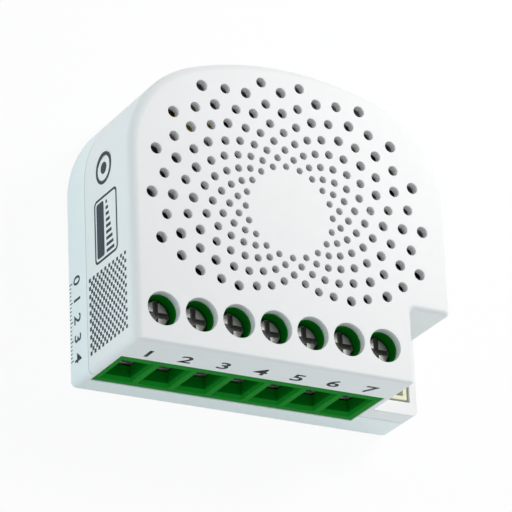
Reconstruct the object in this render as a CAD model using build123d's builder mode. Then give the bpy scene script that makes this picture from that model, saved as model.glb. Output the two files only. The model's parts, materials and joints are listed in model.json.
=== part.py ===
from build123d import *
import os
from math import atan2, cos, hypot, pi, radians, sin, sqrt

# In-wall smart relay module, in millimetres.
# The module lies on its rear cover: +Z points out of the vented front face, the terminals face -Y
# and +X is to the right when the front face is looked at. The origin is the centre of the rear face.

# Case walls
wall = 1.0
front_wall = 1.05
floor_wall = 1.25
corner_radius = 13.5
crown_radius = 39.6
foot_radius = 0.7
pocket_edge_radius = 0.6
side_edge_radius = 1.1
low_edge_radius = 0.4
rear_edge_radius = 0.8
cover_height = 5.3
seam_gap = 0.08
overrun = 1.0

# Lip of the rear cover inside the front shell, and its snaps
lip_gap = 0.1
lip_thickness = 0.7
lip_height = 1.3
lip_root = 1.0
lip_start = 1.2
snap_width = 4.0
snap_reach = 0.35
snap_rise = 0.4
snap_height = 0.6
snap_clearance = 0.2

# Terminal block, screws, rising clamps and current bars
pole_count = 7
pole_spacing = 5.0
block_end = 0.35
block_gap = 0.1
block_depth = 8.6
block_floor = 1.0
block_top_gap = 0.05
screw_setback = 4.4
access_radius = 2.135
bore_radius = 2.05
head_radius = 1.85
head_height = 1.5
head_sink = 1.1
head_play = 0.05
head_bevel = 0.25
cross_length = 3.5
cross_width = 0.7
cross_depth = 0.9
shank_radius = 1.25
thread_play = 0.03
neck_radius = 1.45
neck_height = 0.85
cage_width = 3.8
cage_depth = 4.4
cage_foot = 0.8
cage_window = 4.05
cage_window_width = 2.7
cage_crown = 1.4
cage_play = 0.15
cage_travel = 1.8
cage_headroom = 0.4
bar_width = 2.4
bar_thickness = 0.8
bar_play = 0.1
bar_front_gap = 0.15
bar_leg_gap = 0.55
bar_leg_width = 1.0
leg_play = 0.1
mouth_recess = 0.1
mouth_rise = 0.36
mouth_height = 8.2
mouth_rim = 0.4
mouth_rim_rear = 0.75
mouth_rim_front = 1.25
mouth_gap = 0.06
mouth_flare = 0.3
mouth_flare_rear = 0.55
mouth_flare_front = 0.4
flare_depth = 0.4
entry_depth = 1.9

# Corner pocket with the small side socket
pocket_width = 5.85
pocket_depth = 9.5
socket_margin = 0.95
socket_gap = 0.3
socket_foot = 1.7
socket_length = 6.0
socket_sink = 0.15
socket_wall = 0.52
socket_well = 3.4
socket_pin_count = 3
socket_pin_spacing = 1.5
socket_pin_width = 0.5
socket_pin_drop = 0.8

# Main board
board_thickness = 1.2
board_clearance = 0.85
board_margin = 0.1
pin_drop = 0.5
post_radius = 1.1
hole_play = 0.15

# Bays for the relays and the other parts behind the terminal block
relay_bay_gap = 2.6
relay_width = 8.0
relay_side_gap = 0.4
relay_middle_gap = 0.8
relay_headroom = 0.7

# Relay
relay_wall = 0.5
relay_fit = 0.05
relay_cover_lift = 0.3
relay_base_height = 1.4
coil_height = 5.4
coil_inset = 0.25
core_radius = 1.2
core_play = 0.03
bobbin_wall = 0.47
flange_side_gap = 0.3
flange_thickness = 0.6
flange_reach = 3.2
yoke_thickness = 0.75
yoke_inset = 0.6
yoke_lift = 0.25
yoke_drop = 2.4
pole_radius = 2.0
pole_thickness = 0.5
magnet_gap = 0.6
armature_thickness = 0.8
armature_inset = 0.1
armature_length = 6.6
armature_nose_gap = 0.05
leaf_thickness = 0.2
leaf_width = 3.0
leaf_tab = 3.2
leaf_reach = 4.0
leaf_drop = 0.6
contact_radius = 0.9
contact_thickness = 0.5
contact_gap = 0.43
contact_inset = 0.8
strip_thickness = 0.4
relay_pin_width = 0.6
relay_pin_play = 0.05
relay_pin_inset = 1.2
front_gap = 8.3

# Power supply parts
core_length = 11.0
core_depth = 5.0
core_height = 10.0
core_leg = 1.4
core_lift = 0.8
core_centre_width = 2.8
bobbin_play = 0.05
winding_build = 2.0
transformer_x = -12.6
transformer_offset = 6.55
capacitor_radius = 3.1
capacitor_height = 11.0
capacitor_x = -2.7
capacitor_offset = 3.5
capacitor_gap = 0.15
capacitor_edge = 0.4
film_length = 6.4
film_depth = 3.0
film_height = 7.5
film_x = -8.7
film_gap = 0.9
film_edge = 0.4
varistor_radius = 3.4
varistor_thickness = 3.0
varistor_x = 2.9
varistor_lift = 0.4
varistor_leg = 0.6
resistor_radius = 1.25
resistor_length = 6.6
resistor_x = 6.0
resistor_lift = 0.3
resistor_cap = 0.15
resistor_cap_length = 1.0
resistor_lead = 0.5
low_bay_offset = 1.2
bridge_length = 4.8
bridge_depth = 3.6
bridge_height = 1.6
bridge_x = 9.7
chip_length = 5.0
chip_depth = 4.0
chip_height = 1.5
chip_edge = 0.25
supply_chip_x = 16.2
metering_chip_x = 10.4
chip_offset = 3.5

# Radio board, its shield, header and antenna
radio_x = 12.9
radio_length = 10.4
radio_depth = 9.4
radio_thickness = 0.8
radio_height = 6.0
radio_offset = 0.95
header_width = 0.6
header_depth = 1.2
header_stub = 0.3
header_spacing = 2.0
header_count = 4
header_inset = 0.7
shield_length = 7.6
shield_depth = 6.2
shield_height = 1.8
shield_wall = 0.2
shield_corner = 0.4
antenna_radius = 0.45
antenna_inset = 3.9
antenna_rise = 3.0
antenna_start = 20.0
antenna_end = 108.0

# Service button, its switch and the status light, in the crown of the case
button_radius = 1.5
button_play = 0.08
button_recess = 0.2
button_travel = 0.4
button_flange_radius = 2.1
button_flange = 0.6
button_flange_gap = 0.1
button_stem = 0.5
button_lip_gap = 0.5
switch_length = 6.2
switch_depth = 3.2
switch_gap = 0.95
switch_headroom = 2.0
plunger_radius = 1.1
plunger_reach = 0.7
plunger_depth = 0.8
plunger_play = 0.05
plunger_gap = 0.1
light_x = 5.4
light_radius = 0.9
light_play = 0.05
light_sink = 0.15
light_inner = 0.5
holder_width = 2.6
holder_depth = 2.4
holder_margin = 1.2
holder_gap = 0.25

# Vent holes: rings about one centre, each turned half a step from the last
vent_x = -0.375
vent_y = 0.15
vent_margin = 3.22
vent_hole_radius = 0.73
vent_count = 20
vent_start = 109.75
vent_ring_shares = (0.322, 0.381, 0.44, 0.499, 0.563, 0.622, 0.702, 0.76, 0.85, 0.914, 1.0)
vent_hole_shares = (0.589, 0.623, 0.661, 0.696, 0.735, 0.767, 0.863, 0.829, 0.932, 0.89, 1.0)
vent_low_middle = -88.25
vent_high_middle = 91.75
vent_full_rings = 4
vent_low_share = 0.25
vent_high_share = 1.25
full_turn = 360.0

# What follows is worked out from the sizes above
block_width = pole_count * pole_spacing + 2 * block_end
terminal_width = block_width + 2 * (wall + block_gap)
case_width = terminal_width + pocket_width
button_room = plunger_reach + button_stem + button_flange + button_flange_gap + wall
supply_room = capacitor_offset + 3 * capacitor_radius + capacitor_gap + switch_gap + switch_depth
case_height = mouth_recess + block_depth + relay_bay_gap + relay_width + supply_room + button_room
cage_height = cage_foot + cage_window + cage_crown
block_height = (
    block_floor + cage_play + cage_height + cage_travel + cage_headroom
    + neck_height + head_play + head_height + head_sink
)
board_low = floor_wall + board_clearance
board_top = board_low + board_thickness
block_top = board_top + block_height
shell_inner = block_top + block_top_gap
case_depth = shell_inner + front_wall
pin_low = board_low - pin_drop
button_z = cover_height + lip_height + button_lip_gap + button_flange_radius

left = -case_width / 2
right = case_width / 2
bottom = -case_height / 2
top = case_height / 2
pocket_left = right - pocket_width
ledge_z = case_depth - pocket_depth
inner_inset = wall + lip_gap + lip_thickness
board_inset = inner_inset + board_margin

block_left = left + wall + block_gap
block_right = block_left + block_width
block_middle = (block_left + block_right) / 2
block_front = bottom + mouth_recess
block_rear = block_front + block_depth
pole_xs = [block_middle + (index - (pole_count - 1) / 2) * pole_spacing for index in range(pole_count)]
screw_y = bottom + screw_setback
mouth_low = board_top + mouth_rise
mouth_high = mouth_low + mouth_height
cage_low = board_top + block_floor + cage_play
window_low = cage_low + cage_foot
window_high = window_low + cage_window
cage_high = cage_low + cage_height
cavity_top = cage_high + cage_travel + cage_headroom
shoulder_z = cavity_top + neck_height
head_low = shoulder_z + head_play
head_top = head_low + head_height
bar_top = window_high - bar_play
bar_low = bar_top - bar_thickness
cavity_front = block_front + entry_depth
cage_front = screw_y - cage_depth / 2
cage_back = screw_y + cage_depth / 2
leg_front = cage_back + bar_leg_gap
leg_back = leg_front + bar_thickness
cavity_back = leg_back + leg_play

relay_low_y = block_rear + relay_bay_gap
relay_high_y = relay_low_y + relay_width
relay_y = (relay_low_y + relay_high_y) / 2
relay_length = (case_width - 2 * (inner_inset + relay_side_gap) - relay_middle_gap) / 2
relay_x = (relay_length + relay_middle_gap) / 2
relay_height = block_height - relay_headroom
relay_top = board_top + relay_height
pocket_height = relay_low_y - bottom - wall - relay_side_gap
pocket_roof = bottom + pocket_height

corner_x = case_width / 2 - corner_radius
crown_y = top - crown_radius
corner_y = crown_y + sqrt((crown_radius - corner_radius) ** 2 - corner_x**2)
lean = atan2(corner_x, corner_y - crown_y)

socket_left = pocket_left + socket_margin + socket_gap
socket_right = right - socket_margin - socket_gap
socket_low = bottom + socket_foot + socket_gap
socket_high = socket_low + socket_length
socket_top = ledge_z - socket_sink
socket_x = (socket_left + socket_right) / 2
socket_middle = (socket_low + socket_high) / 2


def crown_at(x, inset):
    """Height in Y of the crown of the case at x, drawn the inset inside its wall."""
    return crown_y + sqrt((crown_radius - inset) ** 2 - x**2)


def case_outline(height, inset, low, low_radius=0):
    """Outline of the case seen from the front, the inset inside its walls, down to the low line."""
    half = case_width / 2 - inset
    corner = corner_radius - inset
    crown = crown_radius - inset
    turn = (pi / 2 - lean) / 2
    join = (crown * sin(lean), crown_y + crown * cos(lean))
    bend = (corner_x + corner * cos(turn), corner_y + corner * sin(turn))
    with BuildSketch(Plane.XY.offset(height)) as outline:
        with BuildLine():
            Line((-half, low), (-half, corner_y))
            ThreePointArc((-half, corner_y), (-bend[0], bend[1]), (-join[0], join[1]))
            ThreePointArc((-join[0], join[1]), (0, crown_y + crown), join)
            ThreePointArc(join, bend, (half, corner_y))
            Line((half, corner_y), (half, low))
            Line((half, low), (-half, low))
        make_face()
        if low_radius:
            fillet(outline.vertices().group_by(Axis.Y)[0], radius=low_radius)
    return outline.sketch


def slab(x_span, y_span, z_span, mode=Mode.ADD):
    """A block between its lowest and highest x, y and z, added to or cut from the part in hand."""
    spans = (x_span, y_span, z_span)
    with Locations(tuple((span[0] + span[1]) / 2 for span in spans)):
        Box(*(span[1] - span[0] for span in spans), mode=mode)


def rod(radius, start, length, turn=(0, 0, 0), mode=Mode.ADD):
    """A round bar from its start along +Z, or along the axis that the turn gives."""
    with Locations(start):
        Cylinder(radius, length, rotation=turn, align=(Align.CENTER, Align.CENTER, Align.MIN), mode=mode)


def keep(piece, name):
    """Labels a finished piece and writes its file."""
    piece.part.label = name
    export_step(piece.part, f"parts/{name}.step")


ALONG_X = (0, 90, 0)
ALONG_Y = (-90, 0, 0)


def turn_between(angle, other):
    """Size in degrees of the angle between two directions."""
    apart = abs(angle - other) % full_turn
    return min(apart, full_turn - apart)


def vent_places(ring):
    """Places of one ring's holes. The outer rings leave room for the terminals and the crown."""
    radius = (case_width / 2 - vent_margin) * vent_ring_shares[ring]
    vent_step = full_turn / vent_count
    low_edge = vent_step * vent_low_share
    high_edge = vent_step * vent_high_share
    spared = max(0, ring - vent_full_rings) * vent_step / 2
    places = []
    for index in range(vent_count):
        angle = vent_start - (index + ring / 2) * vent_step
        over_terminals = ring >= vent_full_rings and turn_between(angle, vent_low_middle) < spared + low_edge
        under_crown = ring == len(vent_ring_shares) - 1 and turn_between(angle, vent_high_middle) < high_edge
        if not over_terminals and not under_crown:
            turn = radians(angle)
            places.append((vent_x + radius * cos(turn), vent_y + radius * sin(turn)))
    return places


def front_shell():
    """Front shell: the vented face, its side walls, the corner pocket and the ledge in it."""
    with BuildPart() as shell:
        extrude(case_outline(cover_height + seam_gap, 0, bottom, foot_radius),
                amount=case_depth - cover_height - seam_gap)
        front_rim = shell.faces().sort_by(Axis.Z)[-1].edges()
        fillet(front_rim, radius=low_edge_radius)
        with BuildPart(mode=Mode.INTERSECT) as softer:
            extrude(case_outline(0, 0, bottom - case_height), amount=case_depth)
            rim = softer.faces().sort_by(Axis.Z)[-1].edges().sort_by(Axis.Y)[1:]
            fillet(rim, radius=side_edge_radius)
        slab((pocket_left, right + overrun), (bottom - overrun, pocket_roof),
             (ledge_z, case_depth + overrun), mode=Mode.SUBTRACT)
        corner_z = (ledge_z + case_depth) / 2
        corners = [(right, pocket_roof), (pocket_left, pocket_roof), (pocket_left, bottom)]
        upright = shell.edges().filter_by(Axis.Z)
        pocket_edges = [upright.sort_by_distance((x, y, corner_z))[0] for x, y in corners]
        fillet(pocket_edges, radius=pocket_edge_radius)
        with BuildPart(mode=Mode.SUBTRACT):
            extrude(case_outline(0, wall, bottom + wall), amount=shell_inner)
            slab((pocket_left - wall, right + overrun), (bottom - overrun, pocket_roof + wall),
                 (ledge_z - wall, case_depth + overrun), mode=Mode.SUBTRACT)
        slab((block_left - mouth_gap, block_right + mouth_gap), (bottom - overrun, bottom + wall + overrun),
             (0, mouth_high + mouth_gap), mode=Mode.SUBTRACT)
        with BuildSketch(Plane.XY.offset(case_depth)):
            with Locations(*[(x, screw_y) for x in pole_xs]):
                Circle(access_radius)
            for ring, share in enumerate(vent_hole_shares):
                with Locations(*vent_places(ring)):
                    Circle(vent_hole_radius * share)
        extrude(amount=-front_wall - overrun, mode=Mode.SUBTRACT)
        slab((pocket_left + socket_margin, right - socket_margin),
             (bottom + socket_foot, socket_high + socket_gap), (0, ledge_z + overrun), mode=Mode.SUBTRACT)
        snap_low = cover_height + snap_rise - snap_clearance
        snap_high = cover_height + snap_rise + snap_height + snap_clearance
        snap_half = snap_width / 2 + snap_clearance
        pocket = wall - snap_reach - snap_clearance
        slab((left + pocket, right - pocket), (relay_high_y - snap_half, relay_high_y + snap_half),
             (snap_low, snap_high), mode=Mode.SUBTRACT)
        rod(button_radius + button_play, (0, top - wall - overrun, button_z),
            wall + 2 * overrun, turn=ALONG_Y, mode=Mode.SUBTRACT)
        rod(light_radius + light_play, (light_x, top - 2 * wall - overrun, button_z),
            2 * wall + 2 * overrun, turn=ALONG_Y, mode=Mode.SUBTRACT)
    return shell


def rear_cover():
    """Rear cover: floor, low walls, the lip with its snaps and the posts that carry the board."""
    with BuildPart() as cover:
        extrude(case_outline(0, 0, bottom, foot_radius), amount=cover_height)
        fillet(cover.faces().sort_by(Axis.Z)[0].edges(), radius=rear_edge_radius)
        extrude(case_outline(floor_wall, wall, bottom + wall), amount=cover_height, mode=Mode.SUBTRACT)
        lip_low_y = pocket_roof + lip_start
        extrude(case_outline(cover_height - lip_root, wall - lip_gap, lip_low_y), amount=lip_root)
        extrude(case_outline(cover_height, wall + lip_gap, lip_low_y), amount=lip_height)
        extrude(case_outline(floor_wall, inner_inset, lip_low_y - overrun),
                amount=cover_height + lip_height, mode=Mode.SUBTRACT)
        snap = left + wall - snap_reach + lip_gap
        snap_z = (cover_height + snap_rise, cover_height + snap_rise + snap_height)
        snap_y = (relay_high_y - snap_width / 2, relay_high_y + snap_width / 2)
        slab((snap, left + inner_inset), snap_y, snap_z)
        slab((right - inner_inset, -snap), snap_y, snap_z)
        slab((block_left - mouth_gap, block_right + mouth_gap), (bottom - overrun, bottom + wall + overrun),
             (mouth_low - mouth_gap, cover_height + overrun), mode=Mode.SUBTRACT)
        for x, y in post_places():
            rod(post_radius, (x, y, floor_wall), board_clearance)
    return cover


def post_places():
    """Places of the posts under the board, clear of every soldered pin."""
    half_way = (pole_xs[0] + pole_xs[1]) / 2
    across = (pole_xs[-2] + pole_xs[-1]) / 2
    row = screw_y
    edge = right - board_inset - 2 * post_radius
    high = relay_high_y + 2 * post_radius
    crown = crown_at(corner_x, board_inset) - 2 * post_radius
    return [(half_way, row), (across, row), (-edge, high), (edge, high), (-corner_x, crown), (corner_x, crown)]


def terminal_block():
    """Terminal block: one moulding with a screw bore, a clamp chamber and a flared wire entry at each pole."""
    mouth_top = mouth_high - mouth_rim_front
    mouth_foot = mouth_low + mouth_rim_rear
    entry_top = mouth_top - mouth_flare_front
    entry_foot = mouth_foot + mouth_flare_rear
    mouth_half = pole_spacing / 2 - mouth_rim
    entry_half = mouth_half - mouth_flare
    flare_end = block_front + flare_depth
    with BuildPart() as block:
        slab((block_left, block_right), (bottom + wall + block_top_gap, block_rear), (board_top, block_top))
        slab((block_left, block_right), (block_front, bottom + wall + block_top_gap), (mouth_low, mouth_high))
        for x in pole_xs:
            with BuildSketch(Plane.XZ.offset(-block_front)):
                with Locations((x, (mouth_foot + mouth_top) / 2)):
                    Rectangle(2 * mouth_half, mouth_top - mouth_foot)
            with BuildSketch(Plane.XZ.offset(-flare_end)):
                with Locations((x, (entry_foot + entry_top) / 2)):
                    Rectangle(2 * entry_half, entry_top - entry_foot)
            loft(mode=Mode.SUBTRACT)
            slab((x - entry_half, x + entry_half), (flare_end, cavity_front), (entry_foot, entry_top),
                 mode=Mode.SUBTRACT)
            chamber = cage_width / 2 + cage_play
            slab((x - chamber, x + chamber), (cavity_front, cavity_back),
                 (board_top + block_floor, cavity_top), mode=Mode.SUBTRACT)
            rod(neck_radius, (x, screw_y, board_top + block_floor), block_height, mode=Mode.SUBTRACT)
            rod(bore_radius, (x, screw_y, shoulder_z), block_height, mode=Mode.SUBTRACT)
            slot = bar_leg_width / 2 + leg_play
            slab((x - slot, x + slot), (leg_front - leg_play, cavity_back),
                 (board_top - overrun, cavity_top), mode=Mode.SUBTRACT)
    return block


def terminal_screw(x):
    """Clamp screw with a cross recess. Its end bears on the current bar."""
    with BuildPart() as screw:
        rod(shank_radius, (x, screw_y, bar_top + head_play), head_low - bar_top - head_play)
        rod(head_radius, (x, screw_y, head_low), head_height)
        chamfer(screw.edges().sort_by(Axis.Z)[-1], length=head_bevel)
        half_long = cross_length / 2
        half_wide = cross_width / 2
        floor = head_top - cross_depth
        slab((x - half_long, x + half_long), (screw_y - half_wide, screw_y + half_wide),
             (floor, head_top + overrun), mode=Mode.SUBTRACT)
        slab((x - half_wide, x + half_wide), (screw_y - half_long, screw_y + half_long),
             (floor, head_top + overrun), mode=Mode.SUBTRACT)
    return screw


def clamp_cage(x):
    """Rising clamp: a steel box whose window holds the wire under the current bar."""
    half = cage_width / 2
    window = cage_window_width / 2
    with BuildPart() as cage:
        slab((x - half, x + half), (cage_front, cage_back), (cage_low, cage_high))
        slab((x - window, x + window), (cage_front - overrun, cage_back + overrun),
             (window_low, window_high), mode=Mode.SUBTRACT)
        rod(shank_radius + thread_play, (x, screw_y, window_low), cage_height, mode=Mode.SUBTRACT)
    return cage


def terminal_bars():
    """Current bars: each lies through its clamp and bends down into the board behind it."""
    with BuildPart() as bars:
        for x in pole_xs:
            half = bar_width / 2
            leg = bar_leg_width / 2
            slab((x - half, x + half), (cavity_front + bar_front_gap, leg_back), (bar_low, bar_top))
            slab((x - leg, x + leg), (leg_front, leg_back), (pin_low, bar_low))
    return bars


def socket_housing():
    """Small side socket: an open-topped housing that stands on the board below the ledge."""
    with BuildPart() as housing:
        slab((socket_left, socket_right), (socket_low, socket_high), (board_top, socket_top))
        slab((socket_left + socket_wall, socket_right - socket_wall),
             (socket_low + socket_wall, socket_high - socket_wall),
             (socket_top - socket_well, socket_top + overrun), mode=Mode.SUBTRACT)
        for y in socket_pin_places():
            slot = socket_pin_width / 2 + relay_pin_play
            slab((socket_x - slot, socket_x + slot), (y - slot, y + slot),
                 (board_top - overrun, socket_top), mode=Mode.SUBTRACT)
    return housing


def socket_pin_places():
    """Places in Y of the socket's pins."""
    middle = (socket_pin_count - 1) / 2
    return [socket_middle + (index - middle) * socket_pin_spacing for index in range(socket_pin_count)]


def socket_pins():
    """Pins of the side socket, soldered into the board."""
    with BuildPart() as pins:
        for y in socket_pin_places():
            half = socket_pin_width / 2
            slab((socket_x - half, socket_x + half), (y - half, y + half),
                 (pin_low, socket_top - socket_pin_drop))
    return pins


def relay_pin_places(x):
    """Places of the two coil pins and of the pin that feeds the moving contact."""
    rear = x - relay_length / 2 + relay_wall + relay_pin_inset
    side = relay_width / 2 - relay_wall - relay_pin_inset
    return [(rear, relay_y - side), (rear, relay_y + side), (hinge_x(x) + relay_pin_inset, relay_y)]


def flange_span(x):
    """Front face of the bobbin in a relay centred at x, and its rear face."""
    front = x + relay_length / 2 - relay_wall - front_gap
    rear = x - relay_length / 2 + relay_wall + 2 * yoke_thickness
    return rear, front


def hinge_x(x):
    """Place of the armature's hinge line."""
    pole_face = flange_span(x)[1] + core_play + pole_thickness
    return pole_face + magnet_gap + armature_thickness / 2


flange_width = relay_width - 2 * relay_wall - 2 * flange_side_gap
yoke_width = flange_width - 2 * yoke_inset
armature_width = yoke_width - 2 * armature_inset
coil_radius = flange_width / 2 - coil_inset
coil_z = board_top + coil_height
flange_top = coil_z + flange_reach
yoke_low = flange_top + yoke_lift
yoke_top = yoke_low + yoke_thickness
hinge_z = (yoke_low + yoke_top) / 2
leaf_top = hinge_z - leaf_drop
moving_contact_low = leaf_top - leaf_thickness - contact_thickness
fixed_contact_top = moving_contact_low - contact_gap
strip_top = fixed_contact_top - contact_thickness


def strip_span(x):
    """Span in X of the upright strip of the fixed contact."""
    front = x + relay_length / 2 - relay_wall - relay_fit - strip_thickness
    return front - strip_thickness, front


def contact_x(x):
    """Place of the two contacts on the leaf and the strip."""
    return hinge_x(x) + armature_thickness / 2 + leaf_reach - contact_inset - contact_radius / 2


def relay_base(x):
    """Relay base: a plate under the coil, with slots for the pins and the contact strip."""
    half = relay_length / 2 - relay_wall - relay_fit
    side = relay_width / 2 - relay_wall - relay_fit
    with BuildPart() as base:
        slab((x - half, x + half), (relay_y - side, relay_y + side), (board_top, board_top + relay_base_height))
        slot = relay_pin_width / 2 + relay_pin_play
        for pin_x, pin_y in relay_pin_places(x):
            slab((pin_x - slot, pin_x + slot), (pin_y - slot, pin_y + slot),
                 (board_top - overrun, board_top + relay_base_height + overrun), mode=Mode.SUBTRACT)
        rear, front = strip_span(x)
        slab((rear - relay_pin_play, front + relay_pin_play), (relay_y - slot, relay_y + slot),
             (board_top - overrun, board_top + relay_base_height + overrun), mode=Mode.SUBTRACT)
    return base


def relay_cover(x):
    """Relay cover: a thin box over the works, open at the bottom."""
    half = relay_length / 2
    side = relay_width / 2
    with BuildPart() as cover:
        slab((x - half, x + half), (relay_y - side, relay_y + side), (board_top + relay_cover_lift, relay_top))
        slab((x - half + relay_wall, x + half - relay_wall),
             (relay_y - side + relay_wall, relay_y + side - relay_wall),
             (board_top, relay_top - relay_wall), mode=Mode.SUBTRACT)
        fillet(cover.edges().filter_by(Axis.Z).group_by(SortBy.LENGTH)[-1], radius=relay_wall)
    return cover


def relay_bobbin(x):
    """Bobbin: a tube between two flanges that stand on the base."""
    rear, front = flange_span(x)
    side = flange_width / 2
    with BuildPart() as bobbin:
        for low in (rear, front - flange_thickness):
            slab((low, low + flange_thickness), (relay_y - side, relay_y + side),
                 (board_top + relay_base_height, flange_top))
        rod(core_radius + core_play + bobbin_wall, (rear, relay_y, coil_z), front - rear, turn=ALONG_X)
        rod(core_radius + core_play, (rear - overrun, relay_y, coil_z), front - rear + 2 * overrun,
            turn=ALONG_X, mode=Mode.SUBTRACT)
    return bobbin


def relay_coil(x):
    """Copper winding of the relay, as one smooth ring of wire between the flanges."""
    rear, front = flange_span(x)
    start = (rear + flange_thickness, relay_y, coil_z)
    length = front - rear - 2 * flange_thickness
    with BuildPart() as coil:
        rod(coil_radius, start, length, turn=ALONG_X)
        rod(core_radius + core_play + bobbin_wall, start, length, turn=ALONG_X, mode=Mode.SUBTRACT)
    return coil


def relay_core(x):
    """Iron core with its pole head in front of the bobbin."""
    rear, front = flange_span(x)
    with BuildPart() as core:
        rod(core_radius, (rear - yoke_thickness, relay_y, coil_z), front - rear + yoke_thickness + core_play,
            turn=ALONG_X)
        rod(pole_radius, (front + core_play, relay_y, coil_z), pole_thickness, turn=ALONG_X)
    return core


def relay_yoke(x):
    """Iron yoke: up behind the coil and forward over it, to the armature's hinge line."""
    rear = flange_span(x)[0]
    side = yoke_width / 2
    nose = hinge_x(x) - armature_thickness / 2 - armature_nose_gap
    with BuildPart() as yoke:
        slab((rear - yoke_thickness, rear), (relay_y - side, relay_y + side), (coil_z - yoke_drop, yoke_top))
        slab((rear - yoke_thickness, nose), (relay_y - side, relay_y + side), (yoke_low, yoke_top))
        rod(core_radius + core_play, (rear - yoke_thickness - overrun, relay_y, coil_z),
            yoke_thickness + overrun, turn=ALONG_X, mode=Mode.SUBTRACT)
    return yoke


def relay_armature(x):
    """Armature: an iron plate that hangs in front of the pole from its rounded upper edge."""
    pivot = hinge_x(x)
    half = armature_thickness / 2
    side = armature_width / 2
    with BuildPart() as armature:
        slab((pivot - half, pivot + half), (relay_y - side, relay_y + side), (hinge_z - armature_length, hinge_z))
        rod(half, (pivot, relay_y - side, hinge_z), armature_width, turn=ALONG_Y)
    return armature


def relay_contact_leaf(x):
    """Contact spring riveted to the armature, with the moving contact under its tip."""
    face = hinge_x(x) + armature_thickness / 2
    side = leaf_width / 2
    with BuildPart() as leaf:
        slab((face, face + leaf_thickness), (relay_y - side, relay_y + side), (leaf_top - leaf_tab, leaf_top))
        slab((face, face + leaf_reach), (relay_y - side, relay_y + side), (leaf_top - leaf_thickness, leaf_top))
        rod(contact_radius, (contact_x(x), relay_y, moving_contact_low), contact_thickness)
    return leaf


def relay_fixed_contact(x):
    """Fixed contact: a strip up from the board with its contact just under the moving one."""
    rear, front = strip_span(x)
    half = relay_pin_width / 2
    side = leaf_width / 2
    seat = contact_x(x) - contact_radius
    with BuildPart() as strip:
        slab((rear, front), (relay_y - half, relay_y + half), (pin_low, board_top + relay_base_height))
        slab((rear, front), (relay_y - side, relay_y + side), (board_top + relay_base_height, strip_top))
        slab((seat, front), (relay_y - side, relay_y + side), (strip_top - strip_thickness, strip_top))
        rod(contact_radius, (contact_x(x), relay_y, strip_top), contact_thickness)
    return strip


def relay_pins(x):
    """The relay's coil pins and common pin."""
    half = relay_pin_width / 2
    with BuildPart() as pins:
        for pin_x, pin_y in relay_pin_places(x):
            slab((pin_x - half, pin_x + half), (pin_y - half, pin_y + half),
                 (pin_low, board_top + relay_base_height))
    return pins


header_high_y = relay_high_y + radio_offset + header_inset
bay_y = relay_high_y + low_bay_offset


def header_places():
    """Places of the pins that carry the radio board."""
    middle = (header_count - 1) / 2
    return [(radio_x + (index - middle) * header_spacing, header_high_y) for index in range(header_count)]


def main_board():
    """Main circuit board, cut to the case and drilled for every soldered pin."""
    bar_hole = hypot(bar_leg_width, bar_thickness) / 2 + hole_play
    relay_hole = hypot(relay_pin_width, relay_pin_width) / 2 + hole_play
    socket_hole = hypot(socket_pin_width, socket_pin_width) / 2 + hole_play
    header_hole = hypot(header_width, header_width) / 2 + hole_play
    relay_places = []
    for x in (-relay_x, relay_x):
        relay_places += relay_pin_places(x)
        relay_places.append((sum(strip_span(x)) / 2, relay_y))
    with BuildPart() as board:
        extrude(case_outline(board_low, board_inset, bottom + board_inset, foot_radius), amount=board_thickness)
        with BuildSketch(Plane.XY.offset(board_top)):
            with Locations(*[(x, (leg_front + leg_back) / 2) for x in pole_xs]):
                Circle(bar_hole)
            with Locations(*relay_places):
                Circle(relay_hole)
            with Locations(*[(socket_x, y) for y in socket_pin_places()]):
                Circle(socket_hole)
            with Locations(*header_places()):
                Circle(header_hole)
        extrude(amount=-board_thickness - overrun, mode=Mode.SUBTRACT)
    return board


transformer_y = relay_high_y + transformer_offset
core_low = board_top + core_lift
window_foot = core_low + core_leg + bobbin_play
window_head = core_low + core_height - core_leg - bobbin_play
tube_x = core_centre_width / 2 + bobbin_play + bobbin_wall
tube_y = core_depth / 2 + bobbin_play + bobbin_wall


def transformer_core():
    """Ferrite core of the supply transformer: outer frame and centre leg round two windows."""
    half = core_length / 2
    side = core_depth / 2
    centre = core_centre_width / 2
    with BuildPart() as core:
        slab((transformer_x - half, transformer_x + half), (transformer_y - side, transformer_y + side),
             (core_low, core_low + core_height))
        for sense in (-1, 1):
            near, far = sorted((transformer_x + sense * centre, transformer_x + sense * (half - core_leg)))
            slab((near, far), (transformer_y - side - overrun, transformer_y + side + overrun),
                 (core_low + core_leg, core_low + core_height - core_leg), mode=Mode.SUBTRACT)
    return core


def transformer_bobbin():
    """Bobbin round the centre leg, with two feet that stand on the board."""
    wide = tube_x + winding_build - bobbin_play
    deep = tube_y + winding_build
    with BuildPart() as bobbin:
        slab((transformer_x - tube_x, transformer_x + tube_x), (transformer_y - tube_y, transformer_y + tube_y),
             (window_foot, window_head))
        for low in (window_foot, window_head - flange_thickness):
            slab((transformer_x - wide, transformer_x + wide), (transformer_y - deep, transformer_y + deep),
                 (low, low + flange_thickness))
        for near, far in ((-deep, -tube_y), (tube_y, deep)):
            slab((transformer_x - wide, transformer_x + wide), (transformer_y + near, transformer_y + far),
                 (board_top, window_foot + flange_thickness))
        slab((transformer_x - tube_x + bobbin_wall, transformer_x + tube_x - bobbin_wall),
             (transformer_y - tube_y + bobbin_wall, transformer_y + tube_y - bobbin_wall),
             (window_foot - overrun, window_head + overrun), mode=Mode.SUBTRACT)
    return bobbin


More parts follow.
